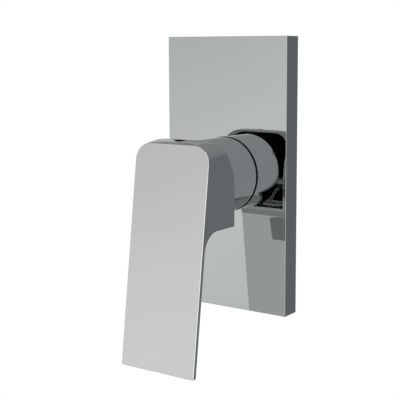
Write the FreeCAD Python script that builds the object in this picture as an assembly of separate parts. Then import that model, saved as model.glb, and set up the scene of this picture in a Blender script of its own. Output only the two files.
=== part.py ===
import FreeCAD, Part
import math
import os

# Concealed single-lever shower mixer: wall plate, neck sleeve, lever handle,
# ceramic disc cartridge and the brass body that is built into the wall.
# Millimetres and degrees. +Z is up, the front faces -Y, +X is to the right.
# The origin lies on the cartridge's axis in the plane of the finished wall.
# "Out" is the distance in front of the wall, so it is minus Y.

Vec = FreeCAD.Vector

# Running and seating clearances
fit_gap = 0.1
pin_gap = 0.03
film_gap = 0.05
body_gap = 0.3
seal_gap = 0.05

# Wall plate and its foam gasket
plate_width = 90.0
plate_height = 175.0
plate_depth = 13.5
plate_face = 3.0
plate_wall = 2.5
plate_bevel = 0.15
plate_hole_gap = 0.6
collar_wall = 3.0
collar_length = 6.0
grip_ring_width = 2.4
grip_ring_depth = 1.6
gasket_width = 5.0
gasket_depth = 4.0

# Cartridge stack, from the seat in the body outwards
seat_out = 5.0
cartridge_diameter = 35.0
housing_wall = 2.0
housing_top = 2.5
base_thickness = 4.5
base_seal_width = 1.5
base_seal_depth = 1.2
disc_seal_thickness = 0.8
fixed_disc_radius = 13.5
fixed_disc_thickness = 4.0
moving_disc_radius = 11.5
moving_disc_thickness = 3.5
mixing_pocket_radius = 8.5
mixing_pocket_depth = 1.8
carrier_thickness = 4.0
guide_flange_thickness = 4.0
guide_neck_radius = 10.0
guide_neck_length = 6.5
pivot_height = 1.8
pin_radius = 1.5
pin_inset = 1.0
inlet_port_radius = 3.2
inlet_port_x = 8.5
inlet_port_z = 5.0
outlet_port_radius = 4.0
outlet_port_z = -8.0

# Stem, from its ball end in the carrier to its square end in the handle
stem_square = 8.0
stem_tail = 8.0
stem_ball_radius = 3.0
stem_tail_radius = 2.4
stem_lift = 25.0
slot_side_gap = 0.5
slot_end_gap = 1.0

# Retaining nut, glide ring and temperature stop ring
nut_shoulder = 1.4
nut_thread_length = 4.5
nut_bore_radius = 13.5
nut_hex_flats = 38.0
nut_hex_height = 2.0
glide_thickness = 0.8
stop_ring_height = 2.3
stop_tab_width = 5.0
stop_tab_height = 1.2

# Brass body in the wall
chamber_wall = 2.5
barrel_radius = 22.0
barrel_front = -2.0
barrel_back = -36.0
barrel_edge = 3.0
port_axis = -16.0
port_radius = 12.0
port_reach = 28.5
port_edge = 1.0
thread_radius = 9.5
thread_length = 12.0
strainer_seat_radius = 7.0
strainer_length = 5.0
passage_radius = 5.0
passage_end = 7.5
riser_radius = 4.2
lug_x = 17.0
lug_z = 38.0
lug_radius = 7.0
lug_thickness = 5.0
lug_hole_radius = 3.0

# Strainers in the two inlets, and the plug in the lower outlet
strainer_wall = 1.2
strainer_holes = 6
strainer_hole_radius = 1.3
strainer_pitch_radius = 4.0
plug_length = 10.0
plug_flange_radius = 12.0
plug_flange = 4.0
plug_hex_flats = 10.0
plug_hex_depth = 8.0
plug_seal_thickness = 1.5

# Neck sleeve and its seals
sleeve_ring_gap = 0.9
sleeve_wall = 1.6
sleeve_overhang = 4.5
sleeve_edge = 0.5
sleeve_seal_thickness = 0.85
sleeve_seal_inset = 0.25
ring_groove_depth = 1.0
ring_width = 2.2
ring_setback = 5.0
ring_pitch = 9.0

# Lever handle
rim_gap = 3.2
boss_depth = 28.7
handle_tilt = 7.5
handle_side_gap = 1.0
handle_under_gap = 0.8
handle_wall = 2.0
handle_face = 3.0
handle_rise = 24.0
handle_drop = 110.9
handle_crown = 1.9
handle_back_rise = 1.2
handle_corner = 11.0
relief_start = -0.7
relief_radius = 18.0
relief_knee = 8.0
relief_depth = 11.8
blade_thickness = 2.45
blade_fillet = 13.0
handle_bevel = 0.35
insert_wall = 1.5
hub_wall = 2.5
hub_setback = 1.7
socket_end_wall = 2.0
screw_radius = 2.5
screw_length = 6.0
screw_setback = 12.0
screw_access_radius = 4.0
screw_hex_flats = 2.5
screw_hex_depth = 2.5

# Places that follow from the sizes above
base_front = seat_out + base_thickness
fixed_disc_back = base_front + disc_seal_thickness
fixed_disc_front = fixed_disc_back + fixed_disc_thickness
moving_disc_back = fixed_disc_front + film_gap
carrier_back = moving_disc_back + moving_disc_thickness
carrier_front = carrier_back + carrier_thickness
guide_back = carrier_front + body_gap
guide_shoulder = guide_back + guide_flange_thickness
housing_front = guide_shoulder + fit_gap + housing_top
guide_front = guide_shoulder + guide_neck_length
pivot_out = housing_front + pivot_height
nut_back = housing_front + glide_thickness
chamber_front = nut_back + nut_thread_length
nut_front = chamber_front + nut_hex_height
sleeve_front = nut_front + sleeve_overhang
sleeve_back = plate_depth + sleeve_seal_thickness
rim_out = sleeve_front + rim_gap
handle_out = rim_out + boss_depth

cartridge_radius = cartridge_diameter / 2
housing_inside = cartridge_radius - housing_wall
chamber_bore = cartridge_radius + fit_gap
nut_thread_radius = chamber_bore + nut_shoulder
chamber_radius = nut_thread_radius + chamber_wall
sleeve_inside = chamber_radius + sleeve_ring_gap
sleeve_radius = sleeve_inside + sleeve_wall
plate_hole = chamber_radius + plate_hole_gap

grip_ring_back = plate_depth - plate_face - (collar_length + grip_ring_width) / 2
grip_ring_front = grip_ring_back + grip_ring_width

handle_half_width = sleeve_radius + handle_side_gap + handle_wall
handle_under = sleeve_radius + handle_under_gap + handle_wall
hub_back = rim_out - hub_setback
insert_half = stem_square / 2 + fit_gap + insert_wall
hub_half = insert_half + fit_gap + hub_wall
tilt = math.radians(handle_tilt)


def point(x, out, z):
    """A point x to the right, out in front of the wall and z above the axis."""
    return Vec(x, -out, z)


def rod(radius, back, front, x=0.0, z=0.0):
    """A round bar square to the wall, between two distances out."""
    return Part.makeCylinder(radius, front - back, point(x, back, z), Vec(0, -1, 0))


def ring(outer, inner, back, front, x=0.0, z=0.0):
    """A round bar with a bore right through it."""
    return rod(outer, back, front, x, z).cut(rod(inner, back, front, x, z))


def block(width, back, front, low, high):
    """A box centred across the width."""
    return Part.makeBox(width, front - back, high - low, point(-width / 2, front, low))


def bar(radius, out, start, direction, length):
    """A round bar in a plane parallel to the wall, from start along direction."""
    return Part.makeCylinder(radius, length, point(0, out, 0) + direction * start, direction)


def hexagon(flats, base, direction, height):
    """A hexagonal prism over the flats, standing on base."""
    corner = flats / math.sqrt(3)
    angles = [math.radians(60 * side) for side in range(7)]
    outline = Part.makePolygon([Vec(corner * math.cos(a), corner * math.sin(a), 0) for a in angles])
    prism = Part.Face(outline).extrude(Vec(0, 0, height))
    turn = FreeCAD.Rotation(Vec(0, 0, 1), direction)
    prism.Placement = FreeCAD.Placement(base, turn)
    return prism


def across(edges, half_width):
    """A side-view outline at x = -half_width, carried across the width."""
    return Part.Face(Part.Wire(edges)).extrude(Vec(2 * half_width, 0, 0))


def edges_on(shape, test):
    """The edges of a shape whose ends and middle all pass a test."""
    chosen = []
    for edge in shape.Edges:
        middle = edge.valueAt((edge.FirstParameter + edge.LastParameter) / 2)
        if all(test(p) for p in [v.Point for v in edge.Vertexes] + [middle]):
            chosen.append(edge)
    return chosen


def cartridge_ports():
    """Centre and radius of the hot, cold and mixed ports through the cartridge."""
    return [
        (-inlet_port_x, inlet_port_z, inlet_port_radius),
        (inlet_port_x, inlet_port_z, inlet_port_radius),
        (0.0, outlet_port_z, outlet_port_radius),
    ]


def drilled(shape, back, front):
    """A shape with the three cartridge ports cut through it."""
    for x, z, radius in cartridge_ports():
        shape = shape.cut(rod(radius, back, front, x, z))
    return shape


# Wall plate: a shallow cast cover with a collar behind its hole
def wall_plate():
    plate = block(plate_width, 0, plate_depth, -plate_height / 2, plate_height / 2)
    front_edges = edges_on(plate, lambda p: abs(p.y + plate_depth) < 1e-6)
    plate = plate.makeChamfer(plate_bevel, front_edges)
    inside_height = plate_height - 2 * plate_wall
    inside_width = plate_width - 2 * plate_wall
    face_back = plate_depth - plate_face
    plate = plate.cut(block(inside_width, 0, face_back, -inside_height / 2, inside_height / 2))
    plate = plate.fuse(rod(plate_hole + collar_wall, face_back - collar_length, face_back))
    plate = plate.cut(rod(plate_hole, 0, plate_depth))
    plate = plate.cut(rod(chamber_radius + grip_ring_depth, grip_ring_back, grip_ring_front))
    return plate.removeSplitter()


def plate_grip_ring():
    outer = chamber_radius + grip_ring_depth - seal_gap
    return ring(outer, chamber_radius + seal_gap, grip_ring_back + seal_gap, grip_ring_front - seal_gap)


def plate_gasket():
    width = plate_width - 2 * plate_wall
    height = plate_height - 2 * plate_wall
    strip = block(width, 0, gasket_depth, -height / 2, height / 2)
    inner_height = height - 2 * gasket_width
    inner_width = width - 2 * gasket_width
    return strip.cut(block(inner_width, 0, gasket_depth, -inner_height / 2, inner_height / 2))


# Neck sleeve, the black seal it stands on and the rings that grip it
def neck_sleeve():
    tube = ring(sleeve_radius, sleeve_inside, sleeve_back, sleeve_front)
    front = edges_on(tube, lambda p: abs(p.y + sleeve_front) < 1e-6)
    outer_edge = [e for e in front if e.Curve.Radius > sleeve_inside + sleeve_wall / 2]
    return tube.makeFillet(sleeve_edge, outer_edge)


def sleeve_seal():
    return ring(sleeve_radius - sleeve_seal_inset, sleeve_inside, plate_depth, sleeve_back)


def ring_places():
    """Back faces of the two grip ring grooves round the chamber."""
    first = chamber_front - ring_setback - ring_width
    return [first - ring_pitch * number for number in range(2)]


def sleeve_grip_rings():
    inner = chamber_radius - ring_groove_depth
    solids = []
    for back in ring_places():
        front = back + ring_width - seal_gap
        solids.append(ring(sleeve_inside - seal_gap, inner + seal_gap, back + seal_gap, front))
    return Part.makeCompound(solids)


# Brass body: chamber for the cartridge, four threaded ports and two lugs
def valve_body():
    barrel = rod(barrel_radius, barrel_back, barrel_front)
    rear = edges_on(barrel, lambda p: abs(p.y + barrel_back) < 1e-6)
    body = barrel.makeFillet(barrel_edge, rear)
    body = body.fuse(rod(chamber_radius, barrel_front - barrel_edge, chamber_front))
    for direction in (Vec(1, 0, 0), Vec(-1, 0, 0), Vec(0, 0, 1), Vec(0, 0, -1)):
        port = bar(port_radius, port_axis, 0, direction, port_reach)
        end = point(0, port_axis, 0) + direction * port_reach
        mouth = edges_on(port, lambda p: abs((p - end).dot(direction)) < 1e-6)
        body = body.fuse(port.makeChamfer(port_edge, mouth))
    for side in (1, -1):
        body = body.fuse(lug(side))
    for side in (1, -1):
        lug_front = barrel_back + lug_thickness
        body = body.cut(rod(lug_hole_radius, barrel_back, lug_front, side * lug_x, -side * lug_z))
    return water_ways(body).removeSplitter()


def lug(side):
    """A flat ear out from the back of the barrel, with a round end."""
    reach = math.hypot(lug_x, lug_z)
    lug_front = barrel_back + lug_thickness
    web = Part.makeBox(reach, lug_thickness, 2 * lug_radius, point(0, lug_front, -lug_radius))
    ear = web.fuse(rod(lug_radius, barrel_back, lug_front, reach))
    angle = math.degrees(math.atan2(lug_z, lug_x))
    ear.rotate(Vec(0, 0, 0), Vec(0, 1, 0), angle if side > 0 else angle + 180)
    core = rod(barrel_radius - barrel_edge, barrel_back, lug_front)
    return ear.cut(core)


def water_ways(body):
    """Bores for the cartridge, the threads, the strainers and the water."""
    body = body.cut(rod(chamber_bore, seat_out, chamber_front))
    body = body.cut(rod(nut_thread_radius, housing_front, chamber_front))
    for back in ring_places():
        groove = ring(chamber_radius, chamber_radius - ring_groove_depth, back, back + ring_width)
        body = body.cut(groove)
    thread_start = port_reach - thread_length
    for direction in (Vec(1, 0, 0), Vec(-1, 0, 0)):
        body = body.cut(bar(thread_radius, port_axis, thread_start, direction, thread_length))
        strainer_floor = thread_start - strainer_length
        body = body.cut(bar(strainer_seat_radius, port_axis, strainer_floor, direction, strainer_length))
        body = body.cut(bar(passage_radius, port_axis, passage_end, direction, port_reach - passage_end))
    for direction in (Vec(0, 0, 1), Vec(0, 0, -1)):
        body = body.cut(bar(thread_radius, port_axis, thread_start, direction, thread_length))
        body = body.cut(bar(riser_radius, port_axis, 0, direction, port_reach))
    return drilled(body, port_axis, seat_out)


def inlet_strainer(direction):
    """A plastic cup with a pierced floor that sits behind an inlet's thread."""
    floor = port_reach - thread_length - strainer_length
    outer = strainer_seat_radius - fit_gap
    cup = bar(outer, port_axis, floor, direction, strainer_length)
    hollow = bar(outer - strainer_wall, port_axis, floor, direction, strainer_length)
    hollow.translate(direction * strainer_wall)
    cup = cup.cut(hollow)
    for number in range(strainer_holes):
        angle = 2 * math.pi * number / strainer_holes
        offset = Vec(0, math.cos(angle), math.sin(angle)) * strainer_pitch_radius
        hole = bar(strainer_hole_radius, port_axis, floor, direction, strainer_wall)
        hole.translate(offset)
        cup = cup.cut(hole)
    return cup.cut(bar(strainer_hole_radius, port_axis, floor, direction, strainer_wall))


# Plug and washer that close the lower outlet
def outlet_plug():
    down = Vec(0, 0, -1)
    thread_start = port_reach - plug_length
    thread = bar(thread_radius - seal_gap, port_axis, thread_start, down, plug_length + plug_seal_thickness)
    flange = bar(plug_flange_radius, port_axis, port_reach + plug_seal_thickness, down, plug_flange)
    plug_end = port_reach + plug_seal_thickness + plug_flange
    key_base = point(0, port_axis, -plug_end + plug_hex_depth)
    return thread.fuse(flange).cut(hexagon(plug_hex_flats, key_base, down, plug_hex_depth)).removeSplitter()


def plug_seal():
    down = Vec(0, 0, -1)
    washer = bar(plug_flange_radius, port_axis, port_reach, down, plug_seal_thickness)
    return washer.cut(bar(thread_radius, port_axis, port_reach, down, plug_seal_thickness))


# Cartridge: base, seals, ceramic discs, carrier, guide and housing
def cartridge_base():
    base = drilled(rod(housing_inside - fit_gap, seat_out, base_front), seat_out, base_front)
    for x, z, radius in cartridge_ports():
        base = base.cut(rod(radius + base_seal_width, seat_out, seat_out + base_seal_depth, x, z))
    return base


def base_seals():
    solids = []
    for x, z, radius in cartridge_ports():
        outer = radius + base_seal_width - seal_gap
        solids.append(ring(outer, radius, seat_out, seat_out + base_seal_depth, x, z))
    return Part.makeCompound(solids)


def disc_seal():
    return drilled(rod(fixed_disc_radius, base_front, fixed_disc_back), base_front, fixed_disc_back)


def fixed_disc():
    disc = rod(fixed_disc_radius, fixed_disc_back, fixed_disc_front)
    return drilled(disc, fixed_disc_back, fixed_disc_front)


def moving_disc():
    disc = rod(moving_disc_radius, moving_disc_back, carrier_back)
    return disc.cut(rod(mixing_pocket_radius, moving_disc_back, moving_disc_back + mixing_pocket_depth))


def disc_carrier():
    carrier = rod(moving_disc_radius, carrier_back, carrier_front)
    pocket_floor = pivot_out - stem_tail - stem_ball_radius - body_gap
    return carrier.cut(rod(stem_ball_radius + body_gap, pocket_floor, carrier_front))


def lever_guide():
    guide = rod(housing_inside - body_gap, guide_back, guide_shoulder)
    guide = guide.fuse(rod(guide_neck_radius, guide_shoulder, guide_front))
    swing = math.sin(math.radians(stem_lift))
    tail_reach = (pivot_out - guide_back) * swing + stem_ball_radius
    nose_reach = (guide_front - pivot_out) * swing + stem_square / 2
    slot_width = stem_square + 2 * slot_side_gap
    slot = block(slot_width, guide_back, guide_front, -tail_reach - slot_end_gap, nose_reach + slot_end_gap)
    pin_length = 2 * (guide_neck_radius - pin_inset)
    start = point(-pin_length / 2, pivot_out, 0)
    return guide.cut(slot).cut(Part.makeCylinder(pin_radius + pin_gap, pin_length, start, Vec(1, 0, 0)))


def pivot_pin():
    length = 2 * (guide_neck_radius - pin_inset)
    return Part.makeCylinder(pin_radius, length, point(-length / 2, pivot_out, 0), Vec(1, 0, 0))


def cartridge_housing():
    housing = rod(cartridge_radius, seat_out, housing_front)
    housing = housing.cut(rod(housing_inside, seat_out, housing_front - housing_top))
    return housing.cut(rod(guide_neck_radius + fit_gap, seat_out, housing_front))


# Ring that limits the hot end of the swivel, keyed on the housing
def stop_ring():
    inner = guide_neck_radius + body_gap
    outer = nut_bore_radius - body_gap
    band = ring(outer, inner, housing_front, housing_front + stop_ring_height)
    tab_front = housing_front + stop_ring_height + stop_tab_height
    tab = block(stop_tab_width, housing_front, tab_front, inner, outer)
    return band.fuse(tab.common(ring(outer, inner, housing_front, tab_front)))


def glide_ring():
    return ring(cartridge_radius, nut_bore_radius, housing_front, nut_back)


def cartridge_nut():
    nut = rod(nut_thread_radius - seal_gap, nut_back, chamber_front)
    nut = nut.fuse(hexagon(nut_hex_flats, point(0, chamber_front, 0), Vec(0, -1, 0), nut_hex_height))
    return nut.cut(rod(nut_bore_radius, nut_back, nut_front)).removeSplitter()


# Stem: ball end, waist, pivot eye and the square that carries the handle
def stem():
    ball_out = pivot_out - stem_tail
    square_back = pivot_out - stem_square / 2
    half = stem_square / 2
    shape = Part.makeSphere(stem_ball_radius, point(0, ball_out, 0))
    shape = shape.fuse(rod(stem_tail_radius, ball_out, square_back))
    shape = shape.fuse(block(stem_square, square_back, socket_front() - fit_gap, -half, half))
    eye = Part.makeCylinder(pin_radius + pin_gap, stem_square, point(-half, pivot_out, 0), Vec(1, 0, 0))
    return shape.cut(eye)


# Handle: tilted blade, hollow boss with a relieved back and a hub inside
def front_at(z):
    """Distance out of the handle's front face at height z."""
    return handle_out - math.tan(tilt) * z


def socket_front():
    """Distance out of the blind end of the hub's square socket."""
    return front_at(hub_half) - handle_face / math.cos(tilt) - socket_end_wall


def relief_out(z):
    """Distance out of the relieved back at height z, on an arc that leaves the rim smoothly."""
    rise = z - relief_start
    return rim_out + relief_radius - math.sqrt(relief_radius ** 2 - rise ** 2)


def screw_out():
    return handle_out - screw_setback


def handle_outline(x):
    """The handle's side view as a closed run of lines and arcs at one x."""
    top_front = point(x, front_at(handle_rise), handle_rise)
    tip_front = point(x, front_at(-handle_drop), -handle_drop)
    inward = point(0, -math.cos(tilt), -math.sin(tilt))
    down = point(0, math.sin(tilt), -math.cos(tilt))
    back = point(0, -1, 0)
    tip_back = tip_front + inward * blade_thickness
    root_out = front_at(-handle_under) - blade_thickness / math.cos(tilt)
    root = point(x, root_out, -handle_under)
    half_turn = (math.pi / 2 + tilt) / 2
    tangent = blade_fillet / math.tan(half_turn)
    bisector = (back + down).normalize()
    arc_middle = root + bisector * (blade_fillet / math.sin(half_turn) - blade_fillet)
    blade_end = root + down * tangent
    under_end = root + back * tangent
    rim_low = point(x, rim_out, -handle_under)
    rim_high = point(x, rim_out, relief_start)
    knee = point(x, relief_out(relief_knee), relief_knee)
    curve_height = (relief_start + relief_knee) / 2
    curve_middle = point(x, relief_out(curve_height), curve_height)
    top_back = point(x, rim_out + relief_depth, handle_rise + handle_back_rise)
    crown_out = (front_at(handle_rise) + rim_out + relief_depth) / 2
    crown = point(x, crown_out, handle_rise + handle_crown)
    return [
        Part.LineSegment(top_front, tip_front).toShape(),
        Part.LineSegment(tip_front, tip_back).toShape(),
        Part.LineSegment(tip_back, blade_end).toShape(),
        Part.Arc(blade_end, arc_middle, under_end).toShape(),
        Part.LineSegment(under_end, rim_low).toShape(),
        Part.LineSegment(rim_low, rim_high).toShape(),
        Part.Arc(rim_high, curve_middle, knee).toShape(),
        Part.LineSegment(knee, top_back).toShape(),
        Part.Arc(top_back, crown, top_front).toShape(),
    ]


def handle_cavity():
    """The hollow of the boss, open to the back past the rim."""
    half = handle_half_width - handle_wall
    floor = -handle_under + handle_wall
    roof_front = handle_rise - handle_wall
    roof_back = handle_rise + handle_back_rise - handle_wall
    inner_face = handle_face / math.cos(tilt)
    mouth = rim_out - handle_wall
    low_back = point(-half, mouth, floor)
    low_front = point(-half, front_at(floor) - inner_face, floor)
    high_front = point(-half, front_at(roof_front) - inner_face, roof_front)
    high_relief = point(-half, rim_out + relief_depth, roof_back)
    roof_middle = (front_at(roof_front) - inner_face + rim_out + relief_depth) / 2
    high_middle = point(-half, roof_middle, handle_rise + handle_crown - handle_wall)
    high_back = point(-half, mouth, roof_back)
    cavity = across([
        Part.LineSegment(low_back, low_front).toShape(),
        Part.LineSegment(low_front, high_front).toShape(),
        Part.Arc(high_front, high_middle, high_relief).toShape(),
        Part.LineSegment(high_relief, high_back).toShape(),
        Part.LineSegment(high_back, low_back).toShape(),
    ], half)
    roof = [e for e in cavity.Edges if on_side(e, half) and e.BoundBox.ZMin > roof_front - 1e-6]
    return cavity.makeFillet(handle_corner - handle_wall, roof)


def on_side(edge, half):
    """Whether an edge lies in one of the two side planes."""
    box = edge.BoundBox
    return box.XLength < 1e-6 and abs(abs(box.XMin) - half) < 1e-6


def handle():
    body = across(handle_outline(-handle_half_width), handle_half_width)
    top = [e for e in body.Edges if on_side(e, handle_half_width) and e.BoundBox.ZMin > handle_rise - 1e-6]
    body = body.makeFillet(handle_corner, top)
    front_edges = edges_on(body, lambda p: abs(-p.y - front_at(p.z)) < 1e-4)
    blade_edges = [e for e in front_edges if e.BoundBox.ZMin < -handle_under]
    body = body.makeChamfer(handle_bevel, blade_edges)
    body = body.cut(handle_cavity())
    hub_front = front_at(hub_half) - handle_face / 2
    body = body.fuse(block(2 * hub_half, hub_back, hub_front, -hub_half, hub_half))
    socket = insert_half + fit_gap
    body = body.cut(block(2 * socket, hub_back, socket_front(), -socket, socket))
    body = body.cut(Part.makeCylinder(screw_access_radius, 2 * handle_rise, point(0, screw_out(), 2 * hub_half)))
    return body.cut(screw_hole(2 * hub_half)).removeSplitter()


def screw_hole(height):
    """The grub screw's bore, from the stem up through the top of the hub."""
    return Part.makeCylinder(screw_radius + seal_gap, height, point(0, screw_out(), 0))


def handle_insert():
    inner = stem_square / 2 + fit_gap
    front = socket_front()
    tube = block(2 * insert_half, hub_back, front, -insert_half, insert_half)
    tube = tube.cut(block(2 * inner, hub_back, front, -inner, inner))
    return tube.cut(screw_hole(hub_half))


def handle_screw():
    seat = stem_square / 2
    screw = Part.makeCylinder(screw_radius, screw_length, point(0, screw_out(), seat))
    key_base = point(0, screw_out(), seat + screw_length - screw_hex_depth)
    return screw.cut(hexagon(screw_hex_flats, key_base, Vec(0, 0, 1), screw_hex_depth))


nodes = {
    "wall_plate": wall_plate(),
    "plate_gasket": plate_gasket(),
    "plate_grip_ring": plate_grip_ring(),
    "neck_sleeve": neck_sleeve(),
    "sleeve_seal": sleeve_seal(),
    "sleeve_grip_rings": sleeve_grip_rings(),
    "valve_body": valve_body(),
    "hot_inlet_strainer": inlet_strainer(Vec(-1, 0, 0)),
    "cold_inlet_strainer": inlet_strainer(Vec(1, 0, 0)),
    "outlet_plug": outlet_plug(),
    "plug_seal": plug_seal(),
    "cartridge_base": cartridge_base(),
    "base_seals": base_seals(),
    "disc_seal": disc_seal(),
    "fixed_disc": fixed_disc(),
    "moving_disc": moving_disc(),
    "disc_carrier": disc_carrier(),
    "lever_guide": lever_guide(),
    "pivot_pin": pivot_pin(),
    "cartridge_housing": cartridge_housing(),
    "stop_ring": stop_ring(),
    "glide_ring": glide_ring(),
    "cartridge_nut": cartridge_nut(),
    "stem": stem(),
    "handle": handle(),
    "handle_insert": handle_insert(),
    "handle_screw": handle_screw(),
}

os.makedirs("parts", exist_ok=True)
for name, shape in nodes.items():
    shape.exportStep("parts/" + name + ".step")
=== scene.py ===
import math

import bpy
import numpy as np
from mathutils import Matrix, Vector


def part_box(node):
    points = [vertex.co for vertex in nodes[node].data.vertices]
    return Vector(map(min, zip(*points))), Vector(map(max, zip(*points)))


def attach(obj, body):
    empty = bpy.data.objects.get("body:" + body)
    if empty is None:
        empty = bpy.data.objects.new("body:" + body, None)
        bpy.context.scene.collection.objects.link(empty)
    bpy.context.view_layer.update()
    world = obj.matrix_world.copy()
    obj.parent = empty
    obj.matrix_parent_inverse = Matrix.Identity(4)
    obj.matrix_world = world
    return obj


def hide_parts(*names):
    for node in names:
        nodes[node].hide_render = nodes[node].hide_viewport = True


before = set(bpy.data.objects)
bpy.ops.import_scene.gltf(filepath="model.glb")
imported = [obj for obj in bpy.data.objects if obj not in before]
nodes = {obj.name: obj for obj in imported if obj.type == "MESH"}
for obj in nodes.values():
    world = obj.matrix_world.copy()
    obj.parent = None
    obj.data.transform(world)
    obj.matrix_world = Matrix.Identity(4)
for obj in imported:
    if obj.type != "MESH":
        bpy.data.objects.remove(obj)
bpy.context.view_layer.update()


# Valve body: a brass casting that is built into the wall, sand-cast outside and bored for the cartridge
# and the water. The end of its chamber, inside the neck, is painted near black as painted shade. Screws
# through its two lugs hold it to the wall's framing, and half-inch pipes screw into its ports.
mm = 0.001


def feed(tree, socket, value):
    """Links another node's output to a socket, or sets the socket's own value."""
    if isinstance(value, bpy.types.NodeSocket):
        tree.links.new(value, socket)
    else:
        socket.default_value = value


def add_node(tree, kind, values=(), **settings):
    """Adds a shader node, sets its properties and feeds its sockets from (socket, value) pairs."""
    node = tree.nodes.new(kind)
    for key, value in settings.items():
        setattr(node, key, value)
    for socket, value in values:
        feed(tree, node.inputs[socket], value)
    return node


def maths(tree, operation, *values):
    """A Math node on numbers and on other nodes' outputs, given as its own output."""
    return add_node(tree, "ShaderNodeMath", enumerate(values), operation=operation).outputs[0]


def new_group(name, inputs, outputs):
    """A shader node group with (name, socket type) inputs and outputs, and the sockets of its two ends."""
    group = bpy.data.node_groups.new(name, "ShaderNodeTree")
    for socket, kind in inputs:
        group.interface.new_socket(name=socket, in_out="INPUT", socket_type=kind)
    for socket, kind in outputs:
        group.interface.new_socket(name=socket, in_out="OUTPUT", socket_type=kind)
    return group, group.nodes.new("NodeGroupInput").outputs, group.nodes.new("NodeGroupOutput").inputs


def grain_group():
    """Fine grain: noise of a given scale, as a roughness between two limits and as a height."""
    group, given, result = new_group(
        "fine_grain",
        [("Vector", "NodeSocketVector"), ("Scale", "NodeSocketFloat"),
         ("Smoothest", "NodeSocketFloat"), ("Roughest", "NodeSocketFloat")],
        [("Roughness", "NodeSocketFloat"), ("Height", "NodeSocketFloat")])
    noise = add_node(group, "ShaderNodeTexNoise", [
        ("Vector", given["Vector"]), ("Scale", given["Scale"]), ("Detail", 4.0), ("Roughness", 0.6)])
    span = add_node(group, "ShaderNodeMapRange", [
        ("Value", noise.outputs["Fac"]), ("From Min", 0.3), ("From Max", 0.7),
        ("To Min", given["Smoothest"]), ("To Max", given["Roughest"])])
    feed(group, result["Roughness"], span.outputs["Result"])
    feed(group, result["Height"], noise.outputs["Fac"])
    return group


def cloud_group():
    """Soft clouds: a slow change between two colours, from low-frequency noise."""
    group, given, result = new_group(
        "soft_cloud",
        [("Vector", "NodeSocketVector"), ("Scale", "NodeSocketFloat"),
         ("First", "NodeSocketColor"), ("Second", "NodeSocketColor")],
        [("Color", "NodeSocketColor")])
    noise = add_node(group, "ShaderNodeTexNoise", [
        ("Vector", given["Vector"]), ("Scale", given["Scale"]), ("Detail", 3.0)])
    span = add_node(group, "ShaderNodeMapRange", [
        ("Value", noise.outputs["Fac"]), ("From Min", 0.35), ("From Max", 0.65)])
    blend = add_node(group, "ShaderNodeMix", [
        ("Factor", span.outputs["Result"]), ("A", given["First"]), ("B", given["Second"])],
        data_type="RGBA")
    feed(group, result["Color"], blend.outputs["Result"])
    return group


def turning_group():
    """Turning marks: fine rings round the mixer's axis, as the sine of the distance from that axis plus the
    distance along it, both over the pitch."""
    group, given, result = new_group(
        "turning_marks",
        [("Vector", "NodeSocketVector"), ("Pitch", "NodeSocketFloat")], [("Height", "NodeSocketFloat")])
    split = add_node(group, "ShaderNodeSeparateXYZ", [("Vector", given["Vector"])]).outputs
    flat = add_node(group, "ShaderNodeCombineXYZ", [("X", split["X"]), ("Z", split["Z"])])
    radius = add_node(group, "ShaderNodeVectorMath", [(0, flat.outputs["Vector"])], operation="LENGTH")
    travel = maths(group, "ADD", radius.outputs["Value"], split["Y"])
    feed(group, result["Height"], maths(group, "SINE", maths(group, "DIVIDE", travel, given["Pitch"])))
    return group


fine_grain = grain_group()
soft_cloud = cloud_group()
turning_marks = turning_group()


def place_group(tree, group, values):
    """Puts a group on the surface's own Object coordinates with its values, and gives its outputs."""
    place = add_node(tree, "ShaderNodeTexCoord")
    return add_node(tree, "ShaderNodeGroup", [("Vector", place.outputs["Object"]), *values],
                    node_tree=group).outputs


def clouded(tree, first, second, scale):
    """Soft clouds between two colours, as a colour."""
    return place_group(tree, soft_cloud, [
        ("Scale", scale), ("First", (*first, 1)), ("Second", (*second, 1))])["Color"]


def grained(tree, scale, roughness):
    """Fine grain between two roughnesses, as a roughness and a height."""
    return place_group(tree, fine_grain, [
        ("Scale", scale), ("Smoothest", roughness[0]), ("Roughest", roughness[1])])


def new_material(name):
    """A material with a node tree."""
    material = bpy.data.materials.new(name)
    material.use_nodes = True
    return material


def nodes_of(material):
    """A material's node tree and the sockets of its Principled shader."""
    return material.node_tree, material.node_tree.nodes["Principled BSDF"].inputs


def finish_of(name, first, second, cloud_scale, grain_scale, roughness, metallic=0.0, bump=0.0):
    """A finish with clouded colour and grained roughness. Where bump, a height in mm, is given, the grain
    is its relief too."""
    material = new_material(name)
    tree, shader = nodes_of(material)
    grain = grained(tree, grain_scale, roughness)
    feed(tree, shader["Base Color"], clouded(tree, first, second, cloud_scale))
    feed(tree, shader["Roughness"], grain["Roughness"])
    feed(tree, shader["Metallic"], metallic)
    if bump:
        relief = add_node(tree, "ShaderNodeBump", [
            ("Strength", 1.0), ("Distance", bump * mm), ("Height", grain["Height"])])
        feed(tree, shader["Normal"], relief.outputs["Normal"])
    return material


def turned_finish(name, first, second, cloud_scale, grain_scale, pitch):
    """A turned metal, with turning marks of a pitch in mm as its relief."""
    material = finish_of(name, first, second, cloud_scale, grain_scale, roughness=(0.20, 0.32), metallic=1.0)
    tree, shader = nodes_of(material)
    marks = place_group(tree, turning_marks, [("Pitch", pitch * mm)])
    relief = add_node(tree, "ShaderNodeBump", [
        ("Strength", 0.35), ("Distance", 0.02 * mm), ("Height", marks["Height"])])
    feed(tree, shader["Normal"], relief.outputs["Normal"])
    return material


def axes_of(tree):
    """The surface's own Object coordinates, as x, y and z."""
    place = add_node(tree, "ShaderNodeTexCoord")
    return add_node(tree, "ShaderNodeSeparateXYZ", [("Vector", place.outputs["Object"])]).outputs


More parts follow.
